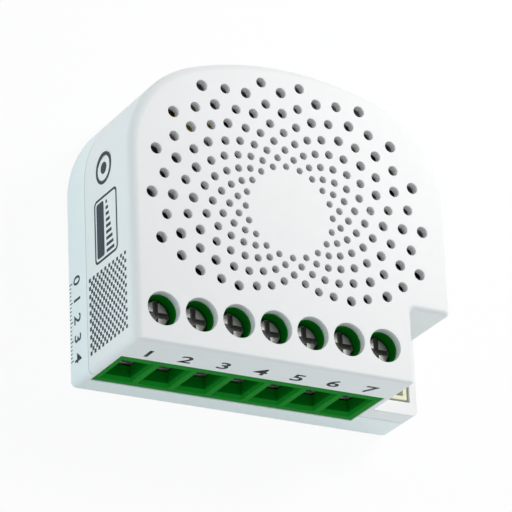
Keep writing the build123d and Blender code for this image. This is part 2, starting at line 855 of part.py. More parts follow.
def transformer_winding():
    """Windings of the transformer under their tape, between the bobbin's flanges."""
    wide = tube_x + winding_build - 2 * bobbin_play
    deep = tube_y + winding_build - 2 * bobbin_play
    low = window_foot + flange_thickness
    high = window_head - flange_thickness
    with BuildPart() as winding:
        slab((transformer_x - wide, transformer_x + wide), (transformer_y - deep, transformer_y + deep),
             (low, high))
        fillet(winding.edges().filter_by(Axis.Z), radius=winding_build / 2)
        slab((transformer_x - tube_x, transformer_x + tube_x), (transformer_y - tube_y, transformer_y + tube_y),
             (low - overrun, high + overrun), mode=Mode.SUBTRACT)
    return winding


capacitor_y = relay_high_y + capacitor_offset


def bulk_capacitors():
    """Two upright electrolytic capacitors."""
    with BuildPart() as cans:
        for y in (capacitor_y, capacitor_y + 2 * capacitor_radius + capacitor_gap):
            rod(capacitor_radius, (capacitor_x, y, board_top), capacitor_height)
        fillet(cans.edges().filter_by(GeomType.CIRCLE).group_by(Axis.Z)[-1], radius=capacitor_edge)
    return cans


def film_capacitor():
    """Box film capacitor across the mains."""
    low_y = transformer_y + tube_y + winding_build + film_gap
    half = film_length / 2
    with BuildPart() as capacitor:
        slab((film_x - half, film_x + half), (low_y, low_y + film_depth), (board_top, board_top + film_height))
        fillet(capacitor.edges().filter_by(Axis.Z), radius=film_edge)
    return capacitor


def varistor():
    """Surge varistor: a coated disc standing on its two legs."""
    middle_y = bay_y + varistor_radius
    centre_z = board_top + varistor_lift + varistor_radius
    half = varistor_thickness / 2
    with BuildPart() as disc:
        rod(varistor_radius, (varistor_x - half, middle_y, centre_z), varistor_thickness, turn=ALONG_X)
        for sense in (-1, 1):
            y = middle_y + sense * varistor_radius / 2
            leg = varistor_leg / 2
            slab((varistor_x - leg, varistor_x + leg), (y - leg, y + leg), (board_top, centre_z))
    return disc


def fusible_resistor():
    """Fusible resistor: a lacquered body with two end caps and leads down to the board."""
    z = board_top + resistor_lift + resistor_radius + resistor_cap
    with BuildPart() as resistor:
        rod(resistor_radius, (resistor_x, bay_y, z), resistor_length, turn=ALONG_Y)
        for start in (bay_y, bay_y + resistor_length - resistor_cap_length):
            rod(resistor_radius + resistor_cap, (resistor_x, start, z), resistor_cap_length, turn=ALONG_Y)
        lead = resistor_lead / 2
        for low in (bay_y - resistor_lead, bay_y + resistor_length):
            slab((resistor_x - lead, resistor_x + lead), (low, low + resistor_lead), (board_top, z + lead))
    return resistor


def flat_chip(x, y, length, depth, height):
    """A flat moulded chip that lies on the main board, centred at x and y."""
    with BuildPart() as chip:
        slab((x - length / 2, x + length / 2), (y - depth / 2, y + depth / 2), (board_top, board_top + height))
        chamfer(chip.edges().group_by(Axis.Z)[-1], length=chip_edge)
    return chip


radio_low_y = relay_high_y + radio_offset
radio_high_y = radio_low_y + radio_depth
radio_low = board_top + radio_height
radio_top = radio_low + radio_thickness


def radio_board():
    """Small radio board, carried above the main board on its header."""
    half = radio_length / 2
    hole = header_width / 2 + relay_pin_play
    with BuildPart() as board:
        slab((radio_x - half, radio_x + half), (radio_low_y, radio_high_y), (radio_low, radio_top))
        for x, y in header_places():
            slab((x - hole, x + hole), (y - hole, y + hole), (radio_low - overrun, radio_top + overrun),
                 mode=Mode.SUBTRACT)
    return board


def radio_header():
    """Header pins with their plastic strip between the two boards."""
    half = header_width / 2
    ends = [place[0] for place in header_places()]
    with BuildPart() as header:
        slab((ends[0] - header_spacing / 2, ends[-1] + header_spacing / 2),
             (header_high_y - header_depth / 2, header_high_y + header_depth / 2), (board_top, radio_low))
        for x, y in header_places():
            slab((x - half, x + half), (y - half, y + half), (pin_low, radio_top + header_stub))
    return header


def radio_shield():
    """Tinned shield can over the radio chip."""
    half = shield_length / 2
    low_y = radio_high_y - shield_depth - header_inset
    with BuildPart() as shield:
        slab((radio_x - half, radio_x + half), (low_y, low_y + shield_depth),
             (radio_top, radio_top + shield_height))
        fillet(shield.edges().filter_by(Axis.Z), radius=shield_corner)
        slab((radio_x - half + shield_wall, radio_x + half - shield_wall),
             (low_y + shield_wall, low_y + shield_depth - shield_wall),
             (radio_top - overrun, radio_top + shield_height - shield_wall), mode=Mode.SUBTRACT)
    return shield


def radio_antenna():
    """Wire antenna: up from the radio board and round the inside of the case's corner."""
    radius = corner_radius - antenna_inset
    height = radio_top + antenna_rise
    start_turn = radians(antenna_start)
    start = (corner_x + radius * cos(start_turn), corner_y + radius * sin(start_turn))
    with BuildPart() as antenna:
        with BuildLine():
            CenterArc((corner_x, corner_y, height), radius, antenna_start, antenna_end - antenna_start)
        with BuildSketch(Plane(origin=(start[0], start[1], height),
                               z_dir=(-sin(start_turn), cos(start_turn), 0))):
            Circle(antenna_radius)
        sweep()
        rod(antenna_radius, (start[0], start[1], radio_top), antenna_rise + antenna_radius / 2)
    return antenna


flange_outer = top - wall - button_flange_gap
stem_end = flange_outer - button_flange - button_stem
switch_face = stem_end - plunger_reach


def service_button():
    """Service button: a cap in the crown wall, a flange that keeps it in and a stem."""
    with BuildPart() as button:
        rod(button_radius, (0, flange_outer - button_flange, button_z),
            top - button_recess - flange_outer + button_flange, turn=ALONG_Y)
        fillet(button.faces().sort_by(Axis.Y)[-1].edges(), radius=button_recess)
        rod(button_flange_radius, (0, flange_outer - button_flange, button_z), button_flange, turn=ALONG_Y)
        rod(plunger_radius, (0, stem_end, button_z), button_stem + button_flange, turn=ALONG_Y)
    return button


def tact_switch():
    """Push switch on the main board, with a blind hole for its plunger."""
    half = switch_length / 2
    well = plunger_depth + button_travel + plunger_gap
    with BuildPart() as switch:
        slab((-half, half), (switch_face - switch_depth, switch_face),
             (board_top, button_z + switch_headroom))
        rod(plunger_radius + plunger_play, (0, switch_face - well, button_z), well + overrun,
            turn=ALONG_Y, mode=Mode.SUBTRACT)
    return switch


def switch_plunger():
    """Plunger of the push switch: the button's stem bears on it, and they travel together."""
    with BuildPart() as plunger:
        rod(plunger_radius, (0, switch_face - plunger_depth, button_z), plunger_depth + plunger_reach,
            turn=ALONG_Y)
    return plunger


light_outer = crown_at(light_x + light_radius, light_sink)
holder_face = crown_at(light_x + holder_width / 2, inner_inset + holder_gap)


def status_light():
    """Status light: a round lens that shows in the crown beside the button."""
    with BuildPart() as lens:
        rod(light_radius, (light_x, holder_face - light_inner, button_z),
            light_outer - holder_face + light_inner, turn=ALONG_Y)
    return lens


def light_holder():
    """Holder that carries the status light on the main board."""
    half = holder_width / 2
    with BuildPart() as holder:
        slab((light_x - half, light_x + half), (holder_face - holder_depth, holder_face),
             (board_top, button_z + holder_margin))
        rod(light_radius, (light_x, holder_face - light_inner, button_z), light_inner + overrun,
            turn=ALONG_Y, mode=Mode.SUBTRACT)
    return holder


os.makedirs("parts", exist_ok=True)

keep(front_shell(), "front_shell")
keep(rear_cover(), "rear_cover")
keep(terminal_block(), "terminal_block")
for number, pole_x in enumerate(pole_xs, start=1):
    keep(terminal_screw(pole_x), f"terminal_screw_{number}")
    keep(clamp_cage(pole_x), f"clamp_cage_{number}")
keep(terminal_bars(), "terminal_bars")
keep(socket_housing(), "socket_housing")
keep(socket_pins(), "socket_pins")
keep(main_board(), "main_board")

relay_pieces = {
    "base": relay_base,
    "cover": relay_cover,
    "bobbin": relay_bobbin,
    "coil": relay_coil,
    "core": relay_core,
    "yoke": relay_yoke,
    "armature": relay_armature,
    "contact_leaf": relay_contact_leaf,
    "fixed_contact": relay_fixed_contact,
    "pins": relay_pins,
}
for number, middle_x in enumerate((-relay_x, relay_x), start=1):
    for piece_name, make_piece in relay_pieces.items():
        keep(make_piece(middle_x), f"relay_{number}_{piece_name}")

keep(transformer_core(), "transformer_core")
keep(transformer_bobbin(), "transformer_bobbin")
keep(transformer_winding(), "transformer_winding")
keep(bulk_capacitors(), "bulk_capacitors")
keep(film_capacitor(), "film_capacitor")
keep(varistor(), "varistor")
keep(fusible_resistor(), "fusible_resistor")
keep(flat_chip(bridge_x, radio_high_y + bridge_depth, bridge_length, bridge_depth, bridge_height),
     "rectifier_bridge")
keep(flat_chip(supply_chip_x, bay_y + chip_offset, chip_length, chip_depth, chip_height), "supply_chip")
keep(flat_chip(metering_chip_x, bay_y + chip_offset, chip_length, chip_depth, chip_height), "metering_chip")
keep(radio_board(), "radio_board")
keep(radio_header(), "radio_header")
keep(radio_shield(), "radio_shield")
keep(radio_antenna(), "radio_antenna")
keep(service_button(), "service_button")
keep(tact_switch(), "tact_switch")
keep(switch_plunger(), "switch_plunger")
keep(status_light(), "status_light")
keep(light_holder(), "light_holder")
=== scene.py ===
"""Look of the smart relay module: materials, printed marks, small parts, light and camera."""
import json
import math
import random

import bmesh
import bpy
from mathutils import Matrix, Vector
from mathutils.bvhtree import BVHTree


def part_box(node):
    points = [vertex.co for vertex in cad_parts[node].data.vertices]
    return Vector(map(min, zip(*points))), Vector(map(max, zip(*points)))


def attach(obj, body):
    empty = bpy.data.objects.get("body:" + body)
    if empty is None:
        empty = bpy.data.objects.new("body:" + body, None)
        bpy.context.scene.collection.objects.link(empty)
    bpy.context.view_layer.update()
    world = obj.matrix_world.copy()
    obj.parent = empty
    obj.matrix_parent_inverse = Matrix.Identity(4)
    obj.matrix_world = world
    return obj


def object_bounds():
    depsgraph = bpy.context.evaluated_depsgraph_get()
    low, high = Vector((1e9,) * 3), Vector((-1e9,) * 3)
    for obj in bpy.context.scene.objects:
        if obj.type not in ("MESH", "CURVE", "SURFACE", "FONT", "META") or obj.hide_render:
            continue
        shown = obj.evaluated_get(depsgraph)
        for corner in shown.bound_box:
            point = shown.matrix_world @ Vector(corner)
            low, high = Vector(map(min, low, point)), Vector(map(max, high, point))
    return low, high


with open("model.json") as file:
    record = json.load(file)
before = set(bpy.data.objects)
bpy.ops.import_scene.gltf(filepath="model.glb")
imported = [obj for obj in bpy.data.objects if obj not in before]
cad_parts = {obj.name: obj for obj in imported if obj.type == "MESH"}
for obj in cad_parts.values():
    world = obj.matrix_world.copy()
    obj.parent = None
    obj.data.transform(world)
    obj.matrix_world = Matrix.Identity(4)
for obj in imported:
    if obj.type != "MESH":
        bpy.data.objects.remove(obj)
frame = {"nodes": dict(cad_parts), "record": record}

# Sizes and places in this script are in millimetres, and MM turns them into Blender's metres
MM = 0.001
# Points closer than this are one, in a mesh that is built here and in one that is read
WELD = 0.0001
READ_WELD = 0.001
cad_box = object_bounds()
nodes = frame["nodes"]
slots = {row["node"]: row["material_slot"] for row in frame["record"]["subparts"]}
materials = {}


class Graph:
    """A node tree, with short ways to add nodes to it."""

    def __init__(self, tree):
        self.tree = tree

    def add(self, kind, **settings):
        node = self.tree.nodes.new(kind)
        for key, value in settings.items():
            setattr(node, key, value)
        return node

    def link(self, source, target):
        self.tree.links.new(source, target)

    def maths(self, operation, first, second=0.0):
        """The result of a sum, where each term is a number or another node's output."""
        node = self.add("ShaderNodeMath", operation=operation)
        for socket, value in zip(node.inputs, (first, second)):
            if isinstance(value, (int, float)):
                socket.default_value = value
            else:
                self.link(value, socket)
        return node.outputs[0]

    def in_view(self):
        """1 where the camera sees the surface, straight, mirrored or through glass, and 0 elsewhere."""
        path = self.add("ShaderNodeLightPath")
        mirrored = self.maths("MAXIMUM", path.outputs["Is Glossy Ray"], path.outputs["Is Transmission Ray"])
        return self.maths("MAXIMUM", path.outputs["Is Camera Ray"], mirrored)

    def show(self, share, first, second, output):
        """Ends the tree in a mix of two shaders, with the given share of the second."""
        mix = self.add("ShaderNodeMixShader")
        self.link(share, mix.inputs[0])
        self.link(first.outputs[0], mix.inputs[1])
        self.link(second.outputs[0], mix.inputs[2])
        self.link(mix.outputs[0], self.tree.nodes[output].inputs["Surface"])


class Surface(Graph):
    """A material's node tree. Noise scales are in blobs per metre."""

    def __init__(self, name):
        self.material = bpy.data.materials.new(name)
        self.material.use_nodes = True
        super().__init__(self.material.node_tree)
        self.shader = self.tree.nodes["Principled BSDF"]
        self.place = self.add("ShaderNodeTexCoord").outputs["Object"]
        materials[name] = self.material

    def fix(self, **values):
        """Gives the shader's sockets plain numbers, with _ for each space in a socket's name."""
        for key, value in values.items():
            self.shader.inputs[key.replace("_", " ")].default_value = value

    def noise(self, scale, detail=2.0, rough=0.5, stretch=None):
        node = self.add("ShaderNodeTexNoise")
        node.inputs["Scale"].default_value = scale
        node.inputs["Detail"].default_value = detail
        node.inputs["Roughness"].default_value = rough
        self.link(self.stretched(stretch), node.inputs["Vector"])
        return node.outputs["Fac"]

    def stretched(self, stretch):
        """The place on the object, scaled by three factors."""
        if stretch is None:
            return self.place
        mapping = self.add("ShaderNodeMapping")
        mapping.inputs["Scale"].default_value = stretch
        self.link(self.place, mapping.inputs["Vector"])
        return mapping.outputs["Vector"]

    def ranged(self, source, low, high, start=0.0, end=1.0):
        """The source's value moved from start..end to low..high."""
        node = self.add("ShaderNodeMapRange")
        node.inputs["From Min"].default_value = start
        node.inputs["From Max"].default_value = end
        node.inputs["To Min"].default_value = low
        node.inputs["To Max"].default_value = high
        self.link(source, node.inputs["Value"])
        return node.outputs["Result"]

    def mixed(self, factor, first, second):
        """A colour between two colours, each a tuple or another node's output."""
        node = self.add("ShaderNodeMix", data_type="RGBA")
        self.link(factor, node.inputs["Factor"])
        for socket, colour in ((node.inputs[6], first), (node.inputs[7], second)):
            if isinstance(colour, tuple):
                socket.default_value = (*colour, 1.0)
            else:
                self.link(colour, socket)
        return node.outputs[2]

    def patched(self, source, body, tint, amount, start, end):
        """The body's colour, moved towards tint by up to amount as the source goes from start to end."""
        return self.mixed(self.ranged(source, 0.0, amount, start, end), body, tint)

    def edge(self, radius):
        """(normal with softened edges, value that is high along the edges, which carries edge wear and
        painted edge highlights).
        """
        bevel = self.add("ShaderNodeBevel", samples=6)
        bevel.inputs["Radius"].default_value = radius * MM
        plain = self.add("ShaderNodeNewGeometry")
        dot = self.add("ShaderNodeVectorMath", operation="DOT_PRODUCT")
        self.link(bevel.outputs["Normal"], dot.inputs[0])
        self.link(plain.outputs["Normal"], dot.inputs[1])
        edge_wear_and_highlight = self.ranged(dot.outputs["Value"], 1.0, 0.0, 0.8, 1.0)
        return bevel.outputs["Normal"], edge_wear_and_highlight

    def bump(self, height, depth, normal=None):
        node = self.add("ShaderNodeBump")
        node.inputs["Strength"].default_value = 1.0
        node.inputs["Distance"].default_value = depth * MM
        self.link(height, node.inputs["Height"])
        if normal is not None:
            self.link(normal, node.inputs["Normal"])
        self.link(node.outputs["Normal"], self.shader.inputs["Normal"])

    def colour(self, source):
        self.link(source, self.shader.inputs["Base Color"])

    def rough(self, source, middle, less, more):
        """Roughness that follows the source, from middle - less to middle + more."""
        self.link(self.ranged(source, middle - less, middle + more), self.shader.inputs["Roughness"])


def shade(colour, factor):
    """A colour made darker or brighter."""
    return tuple(min(1.0, value * factor) for value in colour)


def plastic(name, colour, roughness, grain=3200.0, depth=0.006, edge_radius=0.12, edge_highlight=1.04,
            mottle=0.03, specular=0.5, coat=0.0):
    """Moulded plastic: fine spark-eroded grain, faint flow mottling, rounded edges that a painted highlight
    makes paler.
    """
    g = Surface(name)
    g.fix(Specular_IOR_Level=specular, Coat_Weight=coat)
    flow = g.noise(170.0, 3.0, 0.55)
    speck = g.noise(grain * 0.6, 2.0, 0.6)
    normal, edge_wear_and_highlight = g.edge(edge_radius)
    body = g.mixed(flow, shade(colour, 1 - mottle), shade(colour, 1 + mottle))
    body = g.patched(speck, body, shade(colour, 1 - 1.5 * mottle), 0.35, 0.45, 0.8)
    # Along the edges the colour is painted paler, a painted highlight
    g.colour(g.mixed(g.maths("MULTIPLY", edge_wear_and_highlight, 0.6), body, shade(colour, edge_highlight)))
    g.rough(g.noise(grain * 0.25), roughness, 0.05, 0.06)
    fine = g.noise(grain, 3.0, 0.6)
    coarse = g.noise(grain * 0.11)
    g.bump(g.maths("ADD", fine, g.maths("MULTIPLY", coarse, 0.7)), depth, normal)


def metal(name, colour, roughness, stretch=(1.0, 1.0, 12.0), brushing=1500.0, depth=0.004,
          tarnish=(0.25, 0.24, 0.22)):
    """Plated or rolled metal: brushed streaks, cloudy tarnish, brighter edges."""
    g = Surface(name)
    g.fix(Metallic=1.0)
    streaks = g.noise(brushing, 3.0, 0.65, stretch)
    cloud = g.noise(420.0, 4.0, 0.6)
    normal, edge_wear_and_highlight = g.edge(0.06)
    body = g.patched(cloud, colour, tarnish, 0.35, 0.42, 0.75)
    body = g.patched(streaks, body, shade(colour, 0.72), 0.25, 0.35, 0.7)
    # Along the edges the colour is painted brighter
    g.colour(g.mixed(g.maths("MULTIPLY", edge_wear_and_highlight, 0.7), body, shade(colour, 1.25)))
    g.rough(streaks, roughness, 0.08, 0.1)
    g.bump(g.maths("ADD", streaks, g.maths("MULTIPLY", cloud, 0.5)), depth, normal)


def board(name, mask, trace):
    """Solder mask over copper: raised traces in steps on both faces, glass weave under them."""
    g = Surface(name)
    g.fix(Coat_Weight=0.3, Coat_Roughness=0.2)
    cells = g.add("ShaderNodeTexVoronoi", feature="F1", distance="MANHATTAN")
    cells.inputs["Scale"].default_value = 430.0
    cells.inputs["Randomness"].default_value = 0.75
    g.link(g.stretched((1.0, 1.0, 0.01)), cells.inputs["Vector"])
    ripple = g.maths("SINE", g.maths("MULTIPLY", cells.outputs["Distance"], 26.0))
    facing = g.add("ShaderNodeSeparateXYZ")
    g.link(g.add("ShaderNodeNewGeometry").outputs["Normal"], facing.inputs[0])
    on_face = g.ranged(g.maths("ABSOLUTE", facing.outputs["Z"]), 0.0, 1.0, 0.6, 0.9)
    track = g.maths("MULTIPLY", g.ranged(ripple, 0.0, 1.0, -0.1, 0.15), on_face)
    weave = g.noise(2600.0, 1.0)
    normal, edge_wear_and_highlight = g.edge(0.08)
    body = g.patched(weave, g.mixed(track, mask, trace), shade(mask, 0.7), 0.4, 0.4, 0.8)
    g.colour(g.mixed(edge_wear_and_highlight, body, (0.35, 0.36, 0.2)))
    g.rough(weave, 0.3, 0.05, 0.12)
    g.bump(g.maths("ADD", track, g.maths("MULTIPLY", weave, 0.15)), 0.03, normal)


# Length in metres of one wave of Blender's wave texture at scale 1
WAVE_AT_SCALE_1 = 0.314


def wound(name, colour, pitch, metallic, across, roughness):
    """Fine enamelled wire or tape: even turns as ridges across an axis, with painted shade in the grooves
    between them and small breaks in the colour.
    """
    g = Surface(name)
    g.fix(Metallic=metallic, Coat_Weight=0.4)
    wave = g.add("ShaderNodeTexWave", bands_direction=across, wave_profile="SIN")
    wave.inputs["Scale"].default_value = WAVE_AT_SCALE_1 / (pitch * MM)
    wave.inputs["Distortion"].default_value = 0.35
    wave.inputs["Detail Scale"].default_value = 4.0
    g.link(g.place, wave.inputs["Vector"])
    turns = wave.outputs["Fac"]
    drift = g.noise(500.0, 3.0)
    # The grooves between the turns are painted darker, a painted shade
    body = g.mixed(turns, shade(colour, 0.45), colour)
    g.colour(g.patched(drift, body, shade(colour, 1.3), 0.35, 0.5, 0.8))
    g.rough(drift, roughness, 0.08, 0.12)
    g.bump(turns, 0.06)


def lens(name, colour):
    """Moulded light pipe with a faint tint and soft frosting."""
    g = Surface(name)
    g.fix(Transmission_Weight=0.3, IOR=1.49)
    cloud = g.noise(900.0, 3.0)
    g.colour(g.mixed(cloud, colour, shade(colour, 0.9)))
    g.rough(cloud, 0.2, 0.08, 0.1)
    normal, _ = g.edge(0.08)
    g.bump(g.noise(2400.0), 0.004, normal)


def ink(name, colour):
    """Printed ink: slightly uneven cover and faint blotches."""
    g = Surface(name)
    g.fix(Specular_IOR_Level=0.2)
    cover = g.noise(5200.0, 3.0, 0.7)
    blotch = g.noise(700.0)
    body = g.patched(cover, colour, shade(colour, 1.5), 0.3, 0.45, 0.85)
    g.colour(g.patched(blotch, body, shade(colour, 0.7), 0.25, 0.4, 0.8))
    g.rough(cover, 0.6, 0.1, 0.08)
    g.bump(cover, 0.003)


# Case, terminals and side socket
plastic("case_front", (0.84, 0.842, 0.845), 0.5, grain=3600.0, depth=0.005, edge_radius=0.15,
        edge_highlight=1.03, mottle=0.012)
plastic("case_rear", (0.855, 0.898, 0.905), 0.5, grain=3600.0, depth=0.005, edge_radius=0.15, mottle=0.012)
plastic("terminal_green", (0.001, 0.215, 0.012), 0.55, grain=2200.0, edge_radius=0.07, edge_highlight=1.7,
        mottle=0.08, specular=0.04)
plastic("socket_cream", (0.73, 0.74, 0.53), 0.42, grain=2400.0, mottle=0.03)
plastic("button_grey", (0.56, 0.58, 0.6), 0.42, grain=2600.0, mottle=0.02)
lens("light_lens", (0.86, 0.93, 0.88))
metal("zinc_screw", (0.31, 0.31, 0.3), 0.4, stretch=(1.0, 1.0, 1.0), brushing=2400.0, depth=0.006)
metal("zinc_cage", (0.5, 0.5, 0.48), 0.5)
metal("tinned_copper", (0.62, 0.6, 0.56), 0.35, stretch=(12.0, 1.0, 1.0))
metal("contact_tin", (0.68, 0.66, 0.62), 0.3)

# Parts on the boards
board("board_green", (0.012, 0.11, 0.045), (0.03, 0.2, 0.08))
board("radio_green", (0.006, 0.06, 0.035), (0.02, 0.13, 0.06))
plastic("bobbin_plastic", (0.72, 0.68, 0.56), 0.45, mottle=0.04)
plastic("film_case", (0.66, 0.42, 0.05), 0.42, mottle=0.05)
plastic("varistor_coat", (0.02, 0.09, 0.32), 0.3, grain=900.0, depth=0.03, mottle=0.08)
plastic("resistor_lacquer", (0.08, 0.26, 0.15), 0.25, grain=700.0, depth=0.03, mottle=0.08, coat=0.5)
plastic("capacitor_sleeve", (0.018, 0.019, 0.04), 0.28, grain=600.0, depth=0.012, mottle=0.1, coat=0.4)
plastic("chip_black", (0.018, 0.018, 0.02), 0.55, grain=2600.0, depth=0.02, edge_highlight=2.5, mottle=0.15)
plastic("header_black", (0.014, 0.014, 0.015), 0.45, grain=1800.0, depth=0.012, edge_highlight=2.5, mottle=0.15)
plastic("plunger_plastic", (0.45, 0.08, 0.05), 0.4, grain=2200.0, mottle=0.05)
plastic("antenna_wire", (0.02, 0.02, 0.021), 0.5, grain=1400.0, depth=0.02, mottle=0.1)
plastic("ferrite", (0.05, 0.05, 0.055), 0.6, grain=900.0, depth=0.05, edge_highlight=2.0, mottle=0.2)
plastic("ceramic_tan", (0.5, 0.36, 0.22), 0.4, grain=1800.0, mottle=0.06)
metal("shield_tin", (0.66, 0.66, 0.64), 0.34, stretch=(1.0, 10.0, 1.0))
metal("solder", (0.66, 0.66, 0.67), 0.25, stretch=(1.0, 1.0, 1.0), brushing=900.0, depth=0.02)
wound("winding_tape", (0.72, 0.46, 0.05), pitch=1.1, metallic=0.0, across="Z", roughness=0.2)

# Relays
plastic("relay_base_black", (0.017, 0.017, 0.018), 0.5, grain=1800.0, depth=0.015, edge_highlight=2.2,
        mottle=0.12)
plastic("relay_cover_black", (0.045, 0.046, 0.05), 0.42, grain=2200.0, depth=0.015, edge_highlight=2.4,
        mottle=0.12)
metal("relay_iron", (0.48, 0.48, 0.49), 0.38, stretch=(10.0, 1.0, 1.0))
metal("spring_copper", (0.66, 0.4, 0.2), 0.3, stretch=(12.0, 1.0, 1.0), tarnish=(0.3, 0.14, 0.07))
wound("coil_copper", (0.58, 0.2, 0.07), pitch=0.09, metallic=1.0, across="X", roughness=0.3)

# Print
ink("print_slate", (0.038, 0.051, 0.066))
ink("print_black", (0.012, 0.017, 0.02))

for name, node in nodes.items():
    node.data.materials.clear()
    node.data.materials.append(materials[slots[name]])


def add_object(name, data, material):
    """A new piece of the object with its finish. All of them ride on the body that doesn't move."""
    piece = bpy.data.objects.new(name, data)
    bpy.context.scene.collection.objects.link(piece)
    data.materials.clear()
    data.materials.append(materials[material])
    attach(piece, "root")


def mesh_from(name, bm):
    """A mesh with its points welded and its faces turned outwards."""
    bmesh.ops.remove_doubles(bm, verts=bm.verts, dist=WELD * MM)
    bmesh.ops.recalc_face_normals(bm, faces=bm.faces)
    mesh = bpy.data.meshes.new(name)
    bm.to_mesh(mesh)
    bm.free()
    return mesh


# Printed marks, each a thin plate of ink on a wall of the case
INK_PROUD = 0.02
INK_SUNK = 0.01


class Sheet:
    """A wall that carries print: a point on it, the direction of its lines, up, and out of the wall."""

    def __init__(self, origin, along, up, out):
        self.origin = Vector(origin)
        self.along = Vector(along)
        self.up = Vector(up)
        self.out = Vector(out)

    def at(self, a, b, height):
        return (self.origin + self.along * a + self.up * b + self.out * height) * MM


def print_plates(name, sheet, outlines, rings=()):
    """Thin closed plates: outlines are lists of points, rings are pairs of an outer and an inner list."""
    bm = bmesh.new()

    def wall(points, turned=False):
        low = [bm.verts.new(sheet.at(a, b, -INK_SUNK)) for a, b in points]
        high = [bm.verts.new(sheet.at(a, b, INK_PROUD)) for a, b in points]
        for i in range(len(points)):
            j = (i + 1) % len(points)
            corners = (low[i], low[j], high[j], high[i])
            bm.faces.new(corners[::-1] if turned else corners)
        return low, high

    for points in outlines:
        low, high = wall(points)
        bm.faces.new(high)
        bm.faces.new(low[::-1])
    for outer, inner in rings:
        outer_low, outer_high = wall(outer)
        inner_low, inner_high = wall(inner, True)
        for i in range(len(outer)):
            j = (i + 1) % len(outer)
            bm.faces.new((outer_high[i], outer_high[j], inner_high[j], inner_high[i]))
            bm.faces.new((outer_low[j], outer_low[i], inner_low[i], inner_low[j]))
    add_object(name, mesh_from(name, bm), "print_slate")


def round_rect(low_a, low_b, high_a, high_b, radius, steps=6):
    """Outline of a rectangle with round corners."""
    points = []
    for a, b, start in ((high_a - radius, high_b - radius, 0), (low_a + radius, high_b - radius, 90),
                        (low_a + radius, low_b + radius, 180), (high_a - radius, low_b + radius, 270)):
        for step in range(steps + 1):
            turn = math.radians(start + 90 * step / steps)
            points.append((a + radius * math.cos(turn), b + radius * math.sin(turn)))
    return points


def circle(a, b, radius, count=40):
    turns = [2 * math.pi * i / count for i in range(count)]
    return [(a + radius * math.cos(turn), b + radius * math.sin(turn)) for turn in turns]


def bar(low_a, low_b, high_a, high_b):
    return [(low_a, low_b), (high_a, low_b), (high_a, high_b), (low_a, high_b)]


def print_number(name, text, sheet, a, b, height, stretch, bold, ink_name):
    """A plain number, centred at a, b, as a thin plate of ink. Stretch widens it and bold thickens it."""
    curve = bpy.data.curves.new(name, "FONT")
    curve.body = text
    curve.align_x = "CENTER"
    curve.resolution_u = 6
    curve.offset = bold
    probe = bpy.data.objects.new(name + "_probe", curve)
    bpy.context.scene.collection.objects.link(probe)
    bpy.context.view_layer.update()
    corners = [Vector(corner) for corner in probe.bound_box]
    low_a = min(corner.x for corner in corners)
    high_a = max(corner.x for corner in corners)
    low_b = min(corner.y for corner in corners)
    high_b = max(corner.y for corner in corners)
    scale = height / (high_b - low_b)
    flat = bpy.data.meshes.new_from_object(probe)
    bpy.data.objects.remove(probe)
    bm = bmesh.new()
    bm.from_mesh(flat)
    bpy.data.meshes.remove(flat)
    bmesh.ops.remove_doubles(bm, verts=bm.verts, dist=READ_WELD * MM)
    for vert in bm.verts:
        vert.co = sheet.at(a + (vert.co.x - (low_a + high_a) / 2) * scale * stretch,
                           b + (vert.co.y - (low_b + high_b) / 2) * scale, INK_PROUD)
    lower = bmesh.ops.extrude_face_region(bm, geom=list(bm.faces))["geom"]
    bmesh.ops.translate(bm, vec=sheet.out * -(INK_PROUD + INK_SUNK) * MM,
                        verts=[item for item in lower if isinstance(item, bmesh.types.BMVert)])
    add_object(name, mesh_from(name, bm), ink_name)


shell_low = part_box("front_shell")[0]
mouth_sheet = Sheet((0, shell_low[1] / MM, 0), (1, 0, 0), (0, 0, 1), (0, -1, 0))
left_sheet = Sheet((shell_low[0] / MM, 0, 0), (0, -1, 0), (0, 0, 1), (-1, 0, 0))

# Plain numbers of the terminals, over the wire mouths
TERMINAL_COUNT = 7
LABEL_RISE = 13.8
LABEL_SHIFT = -0.25
for number in range(1, TERMINAL_COUNT + 1):
    low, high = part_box(f"terminal_screw_{number}")
    middle = (low[0] + high[0]) / 2 / MM
    print_number(f"terminal_number_{number}", str(number), mouth_sheet, middle + LABEL_SHIFT, LABEL_RISE,
                 height=1.9, stretch=1.4, bold=0.014, ink_name="print_black")

# A ring with a dot in it
RING_PLACE = (-5.0, 10.6)
RING_OUTER = 2.05
RING_INNER = 1.6
DOT_RADIUS = 0.75
print_plates("ring_mark", left_sheet, [circle(*RING_PLACE, DOT_RADIUS)],
             [(circle(*RING_PLACE, RING_OUTER), circle(*RING_PLACE, RING_INNER))])

# A frame, dark along one side, with plain bars of rising length in the other
FRAME = (-1.45, 7.85, 6.85, 13.85)
FRAME_RADIUS = 0.7
FRAME_LINE = 0.3
WINDOW_RADIUS = 0.45
BLOCK_INSET = 0.6
BLOCK_TOP = 10.35
BLOCK_RADIUS = 0.35
BAR_COUNT = 9
BAR_START = -0.6
BAR_STEP = 0.8
BAR_WIDTH = 0.4
BAR_FOOT = 10.9
BAR_LEAST = 0.4
BAR_GROWTH = 0.2


def inside_frame(inset):
    """The frame's four sides, each moved inwards."""
    low_a, low_b, high_a, high_b = FRAME
    return low_a + inset, low_b + inset, high_a - inset, high_b - inset


plates = []
for i in range(BAR_COUNT):
    low_a = BAR_START + BAR_STEP * i
    plates.append(bar(low_a, BAR_FOOT, low_a + BAR_WIDTH, BAR_FOOT + BAR_LEAST + BAR_GROWTH * i))
plates.append(round_rect(*inside_frame(BLOCK_INSET)[:3], BLOCK_TOP, BLOCK_RADIUS))
frame_ring = (round_rect(*FRAME, FRAME_RADIUS), round_rect(*inside_frame(FRAME_LINE), WINDOW_RADIUS))
print_plates("bar_frame_mark", left_sheet, plates, [frame_ring])

